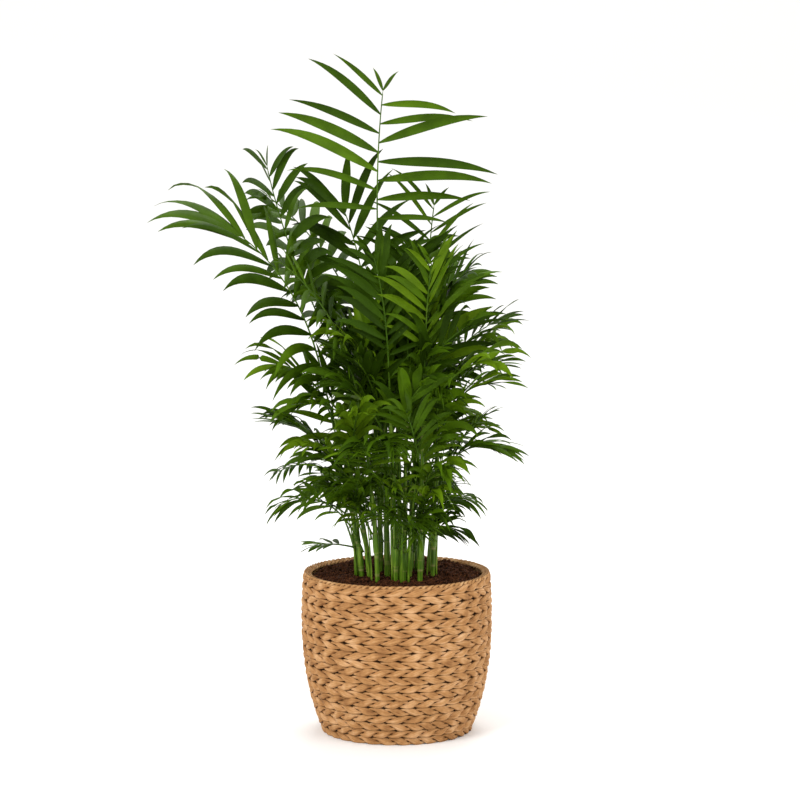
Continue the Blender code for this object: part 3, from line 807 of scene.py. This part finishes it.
def placeRibs(fronds):
    # each frond turns about its foot until its rib is clear, as the solids do
    steps = crown["caneSteps"]
    canes = []
    for cane in range(len(crown["canes"])):
        places = [caneAt(cane, step / steps) for step in range(steps + 1)]
        canes.append(prism([ringRound(*place, crown["caneSides"]) for place in places]))
    ribs = {}
    for frond in fronds:
        first = frond.first.name if frond.first else None
        corners = []
        faces = []
        for shape in canes + [rib for name, rib in ribs.items() if name != first]:
            faces += [tuple(index + len(corners) for index in face) for face in shape[1]]
            corners += shape[0]
        tree = BVHTree.FromPolygons(corners, faces)
        for turn in crown["turns"]:
            curve = ribCurve(frond, turn)
            whole = ribShape(frond, curve)
            roomy = ribShape(frond, curve, crown["freeFoot"], crown["ribClearance"])
            if not (BVHTree.FromPolygons(*whole).overlap(tree) or BVHTree.FromPolygons(*roomy).overlap(tree)):
                break
        frond.curve = curve
        ribs[frond.name] = whole


def addInner(fronds, first, kind, **row):
    frond = SimpleNamespace(**{**usual, "shown": False, "inner": True, **kind["blade"], **row})
    frond.number = first + len(fronds)
    frond.curve = ribCurve(frond)
    fronds.append(frond)


def innerFronds(first):
    draw = random.Random(inner["seed"])
    fronds = []
    for cane, (x, y, height, leanX, leanY) in enumerate(crown["canes"]):
        outward = degrees(atan2(y + leanY, x + leanX))
        for k in range(inner["aCane"]):
            share = blend(*inner["share"], (k + draw.random()) / inner["aCane"])
            azimuth = outward + draw.uniform(-inner["turn"], inner["turn"])
            size = draw.uniform(*inner["size"])
            addInner(
                fronds, first, inner, name=f"inner_{cane}_{k}", cane=cane, share=share, azimuth=azimuth,
                rise=[draw.uniform(*limits) for limits in inner["rise"]],
                length=blend(*inner["length"], share) * size, leaf=blend(*inner["leaf"], share) * size,
                leaves=draw.choice(inner["leaves"]),
            )
    for cane in heart["canes"]:
        for k in range(heart["aCane"]):
            addInner(
                fronds, first, heart, name=f"heart_{cane}_{k}", cane=cane,
                share=draw.uniform(*heart["share"]), azimuth=draw.uniform(0, 360),
                rise=[draw.uniform(*limits) for limits in heart["rise"]],
                length=draw.uniform(*heart["length"]), leaf=draw.uniform(*heart["leaf"]),
                leaves=draw.choice(heart["leaves"]),
            )
    return fronds


def leafOutline(place):
    # half width against the widest: narrow at the root, widest before the middle, drawn out to a fine tip
    widest = finer["widest"]
    if place < widest:
        return blend(finer["rootWidth"], 1, sin(pi / 2 * (place / widest) ** 0.8))
    return max(finer["tipWidth"], cos(pi / 2 * ((place - widest) / (1 - widest)) ** 1.2))


def addLeaflet(patch, root, start, along, normal, length, width, sag, draw):
    steps = crown["leafSteps"]
    start = start.normalized()
    points = [root]
    for step in range(steps):
        late = ((step + 0.5) / steps) ** finer["fallBend"]
        fall = sag * (finer["earlyFall"] * (step + 0.5) / steps + finer["lateFall"] * late)
        points.append(points[-1] + (start - up * fall).normalized() * (length / steps))
    twist = radians(draw.uniform(-finer["twist"], finer["twist"]))
    cup = finer["cup"] * draw.uniform(*finer["cups"])
    shares = (-1, -0.5, 0, 0.5, 1)
    rows = []
    for step, point in enumerate(points):
        place = step / steps
        heading = (points[min(step + 1, steps)] - points[max(step - 1, 0)]).normalized()
        across = (along - heading * along.dot(heading)).normalized()
        through = heading.cross(across)
        if through.dot(normal) < 0:
            through.negate()
        turn = Matrix.Rotation(twist * place ** finer["twistBend"], 3, heading)
        across = turn @ across
        through = turn @ through
        half = width / 2 * leafOutline(place)
        bend = finer["cupBend"]
        row = [point + across * half * u - through * half * cup * abs(u) ** bend for u in shares]
        rows.append((row, [(0.5 + u / 2, place) for u in shares]))
    addRows(patch, rows)


def leafLength(frond, place):
    before = place < crown["longestAt"]
    end = crown["footLeaf"] if before else frond.ends
    far = (crown["longestAt"] - place) / (crown["longestAt"] if before else 1 - crown["longestAt"])
    return frond.leaf * mm * (1 - (1 - end) * far**2)


def dressFrond(frond, tonePatches):
    draw = random.Random(finer["bladeSeed"] + frond.number)
    names = list(leafTones)
    count = frond.leaves if frond.shown else round(frond.leaves * finer["leaflets"])
    count += count % 2
    for number in range(count):
        place = (number + 0.5) / count
        sign = 1 if number % 2 else -1
        point, along, side, normal = onRib(frond.curve, blend(frond.bare, 1, place))
        if not frond.shown:
            roll = Matrix.Rotation(radians(frond.blade), 3, along)
            side = roll @ side
            normal = roll @ normal
        wander = draw.uniform(-finer["wander"], finer["wander"])
        lift = crown["leafLift"] + draw.uniform(*finer["lift"])
        skew = sign * frond.skew * place
        spread = radians(blend(crown["spreadFoot"], frond.spread, place) + skew + wander - frond.swept)
        start = along * cos(spread) + side * sign * sin(spread) + normal * lift
        length = leafLength(frond, place) * draw.uniform(*finer["lengths"])
        width = length / (frond.slender or finer["slenderness"]) * draw.uniform(*finer["widths"])
        tone = names.index(frond.tone) + draw.choice(finer["toneSteps"])
        patch = tonePatches[names[min(max(tone, 0), len(names) - 1)]]
        root = point + side * sign * crown["ribTipWidth"] * finer["rootOut"]
        addLeaflet(
            patch, root, start, along, normal, length, width, frond.sag * draw.uniform(*finer["sags"]), draw,
        )
    point, along, side, normal = onRib(frond.curve, 1)
    length = leafLength(frond, 1) * frond.last
    spread = radians(min(frond.spread, finer["endSpread"]) * frond.fork)
    for sign in (-1, 1):  # the two leaflets that end the blade
        start = along * cos(spread) + side * sign * sin(spread)
        addLeaflet(
            tonePatches[frond.tone], point, start, side * sign, normal, length, length / finer["endSlender"],
            frond.sag, draw,
        )


def addRib(frond, patch):
    steps = finer["ribSteps"]
    sides = finer["ribSides"]
    rows = []
    for step in range(steps + 1):
        share = step / steps
        point, along, side, normal = onRib(frond.curve, share)
        swell = 1 + (0 if frond.share == 1 else finer["footSwell"] * exp(-share / finer["footLength"]))
        half = blend(crown["ribWidth"], crown["ribTipWidth"], share) / 2 * finer["ribShare"] * swell
        depth = blend(crown["ribDepth"], crown["ribTipDepth"], share) / 2 * finer["ribShare"] * swell
        if step == steps:
            half = half * finer["ribEnd"]
            depth = depth * finer["ribEnd"]
        middle = point - normal * depth
        angles = [tau * k / sides for k in range(sides)]
        rows.append(([middle + side * half * cos(a) + normal * depth * sin(a) for a in angles], share))
    addRows(patch, rows, ring=True, capped=True)


def dealLooks(fronds):
    # each frond's tone and the set of its blade
    draw = random.Random(finer["dealSeed"])
    tones = list(leafTones)
    for frond in fronds:
        level = finer["level"] + draw.uniform(-finer["levels"], finer["levels"])
        level = level + (finer["innerLevel"] if frond.inner else 0)
        frond.tone = finer["tones"].get(frond.name, tones[min(max(round(level), 0), len(tones) - 1)])
        frond.blade = 0 if frond.shown else draw.uniform(-finer["unnamedRoll"], finer["unnamedRoll"])
        frond.last, frond.fork = finer["endPair"].get(frond.name, (0.42 if frond.spread > 40 else 0.8, 1))
        frond.slender = finer["slender"].get(frond.name, frond.slender)
        frond.swept = finer["swept"].get(frond.name, 0)
        if not frond.shown and not frond.slender:
            frond.swept = draw.uniform(*finer["unnamedSwept"])
            frond.slender = draw.uniform(*finer["unnamedSlender"])
        if not frond.shown:
            frond.sag = frond.sag * draw.uniform(*finer["unnamedSag"])
            frond.spread = frond.spread * draw.uniform(*finer["unnamedSpread"])


def makeFronds():
    fronds = planFronds()
    placeRibs(fronds)
    fronds += innerFronds(len(fronds))
    dealLooks(fronds)
    tonePatches = {name: newPatch() for name in leafTones}
    ribs = newPatch()
    nodes = {name: [] for name in leafTones}
    for frond in fronds:
        dressFrond(frond, tonePatches)
        addRib(frond, ribs)
        if not frond.first and not frond.inner:
            nodes[frond.tone].append(frond.name)
    for name, colours in leafTones.items():
        material = makeLeafGreen(f"palm leaflet {name}", *colours)
        pieceFrom(f"leaflets_{name}", tonePatches[name], material, nodes[name])
        print("leaflets", name, len(tonePatches[name].faces), "faces", len(nodes[name]), "fronds")
    pieceFrom("frond_ribs", ribs, ribGreen)
    return fronds


bark = {
    "sides": 16, "steps": 110, "seed": 31,
    "slim": (0.8, 1),  # against the solid
    "scars": 8, "pitch": 0.115, "offset": (0.04, 0.08),  # shares of the cane's height
    "scarHeight": 1.1 * mm, "scarPale": 0.5,
    "plain": 0.94, "ring": 0.06, "flare": 0.06, "flareHeight": 9 * mm,
    "sheath": 26 * mm, "sheathSteps": 12, "sheathSwell": 0.45, "sheathPale": 0.25,
}
shoots = {
    "count": 30, "seed": 61, "steps": 14, "sides": 8,
    "away": (5 * mm, 11 * mm),  # from the middle of the cane beside it
    "buried": 2 * mm,
    "lean": (0.1, 0.7), "bend": 1.6,
    "height": (80 * mm, 200 * mm),
    "radius": (0.9 * mm, 1.9 * mm),
    "thinned": 0.8, "taper": 1.5,
}


def addBark(patch, cane, draw):
    # the cane's skin, with a pale ring and a slight flare above it at each old scar
    height = crown["canes"][cane][2] * mm
    scars = [k * bark["pitch"] + draw.uniform(*bark["offset"]) for k in range(bark["scars"])]
    slim = draw.uniform(*bark["slim"])
    rows = []
    for step in range(-1, bark["steps"] + 1):
        share = step / bark["steps"]
        point, direction, radius = caneAt(cane, share)
        near = max(exp(-((share - scar) * height / bark["scarHeight"]) ** 2) for scar in scars)
        above = min([share - scar for scar in scars if share >= scar] or [1]) * height
        flare = bark["flare"] * exp(-above / bark["flareHeight"])
        radius = radius * slim * (bark["plain"] + bark["ring"] * near + flare)
        rows.append((ringRound(point, direction, radius, bark["sides"]), bark["scarPale"] * near))
    addRows(patch, rows, ring=True, capped=True)


def addSheath(patch, cane, share):
    # a petiole's foot wraps the cane
    steps = bark["sheathSteps"]
    span = min(bark["sheath"] / (crown["canes"][cane][2] * mm), share)
    rows = []
    for step in range(steps + 1):
        climbed = step / steps
        point, direction, radius = caneAt(cane, share - span * (1 - climbed))
        swell = bark["sheathSwell"] * sin(pi * (0.05 + 0.85 * climbed))
        pale = bark["sheathPale"] if step in (0, steps) else 0
        rows.append((ringRound(point, direction, radius + swell * mm, bark["sides"]), pale))
    addRows(patch, rows, ring=True)


def makeCanes(fronds):
    draw = random.Random(bark["seed"])
    for cane in range(len(crown["canes"])):
        patch = newPatch()
        addBark(patch, cane, draw)
        carried = [frond for frond in fronds if frond.cane == cane and not (frond.first or frond.inner)]
        for share in sorted(frond.share for frond in carried):
            addSheath(patch, cane, share)
        name = f"cane_{cane + 1:02d}"
        pieceFrom(f"ringed_{name}", patch, caneGreen, (name,))


def makeShoots():
    # slim unopened shoots that rise between the canes
    draw = random.Random(shoots["seed"])
    patch = newPatch()
    bend = shoots["bend"]
    for _ in range(shoots["count"]):
        foot = caneAt(draw.randrange(len(crown["canes"])), 0)[0]
        turn = draw.uniform(0, tau)
        start = foot + Vector((cos(turn), sin(turn), 0)) * draw.uniform(*shoots["away"])
        start.z = soilHeight(start.x, start.y) - shoots["buried"]
        lean = Vector((start.x, start.y, 0)) * draw.uniform(*shoots["lean"])
        height = draw.uniform(*shoots["height"])
        thick = draw.uniform(*shoots["radius"])
        rows = []
        for step in range(shoots["steps"] + 1):
            share = step / shoots["steps"]
            point = start + lean * share**bend + up * height * share
            heading = (lean * bend * share ** (bend - 1) + up * height).normalized()
            radius = thick * (1 - shoots["thinned"] * share ** shoots["taper"])
            rows.append((ringRound(point, heading, radius, shoots["sides"]), 0))
        addRows(patch, rows, ring=True, capped=True)
    pieceFrom("young_shoots", patch, caneGreen)


# Stage, lights and camera

studio = {
    "sweep": "f6f5f3",
    "floor": 9, "wall": 6, "curve": 2.2,  # metres
    "cameraPlace": (0.0041, -3.4, 0.80),
    "cameraDown": 6.43,
    "lens": 123.57, "sensor": 36,
    "sky": 0.94,
    "aim": (0, 0, 0.4),
    "lights": (  # place, size in metres, power in watts
        ((-1.6, -2.2, 2.6), 1.3, 60),
        ((2.2, -1.6, 1.9), 2.0, 22),
        ((0.3, 1.6, 2.6), 1.6, 34),
    ),
}


def makeSweep():
    bpy.ops.mesh.primitive_plane_add(size=studio["floor"], location=(0, 0, 0))
    floor = bpy.context.object
    switchTo("EDIT")
    bpy.ops.mesh.select_all(action="DESELECT")
    bpy.ops.mesh.select_mode(type="EDGE")
    switchTo("OBJECT")
    for edge in floor.data.edges:
        edge.select = all(floor.data.vertices[index].co.y > 0 for index in edge.vertices)  # the back edge
    switchTo("EDIT")
    bpy.ops.mesh.extrude_region_move(TRANSFORM_OT_translate={"value": (0, 0, studio["wall"])})
    switchTo("OBJECT")
    curve = floor.modifiers.new("sweep", "BEVEL")
    curve.width = studio["curve"]
    curve.segments = 24
    curve.limit_method = "ANGLE"
    bpy.ops.object.modifier_apply(modifier=curve.name)
    material, tree, shader = newMaterial("seamless paper", 0.9)
    shader.inputs["Base Color"].default_value = hexColour(studio["sweep"])
    finishMesh(floor, "sweep", material)


def makeLights():
    world = bpy.data.worlds.new("studio")
    world.use_nodes = True
    world.node_tree.nodes["Background"].inputs["Color"].default_value = hexColour("ffffff")
    world.node_tree.nodes["Background"].inputs["Strength"].default_value = studio["sky"]
    bpy.context.scene.world = world
    for number, (place, size, power) in enumerate(studio["lights"]):
        lamp = bpy.data.lights.new(f"softbox_{number + 1}", "AREA")
        lamp.size = size
        lamp.energy = power
        holder = newObject(lamp.name, lamp)
        holder.location = place
        toward = Vector(studio["aim"]) - Vector(place)
        holder.rotation_euler = toward.to_track_quat("-Z", "Y").to_euler()
    bpy.context.scene.view_settings.view_transform = "Standard"


def makeCamera():
    camera = bpy.data.cameras.new("camera")
    camera.lens = studio["lens"]
    camera.sensor_width = studio["sensor"]
    holder = newObject("camera", camera)
    holder.location = studio["cameraPlace"]
    holder.rotation_euler = (radians(90 - studio["cameraDown"]), 0, 0)
    bpy.context.scene.camera = holder


makeCamera()
makeLights()
makeSweep()
print("stage, lights and camera set")
makeRows()
makeRimRope()
makeBottom()
makeUprights()
print("basket twined")
makeSoil()
soilDraw = random.Random(soil["seed"])
makeCrumbs(soilDraw)
makeFibres(soilDraw)
print("soil filled")
grown = makeFronds()
makeCanes(grown)
makeShoots()
print("palm grown")
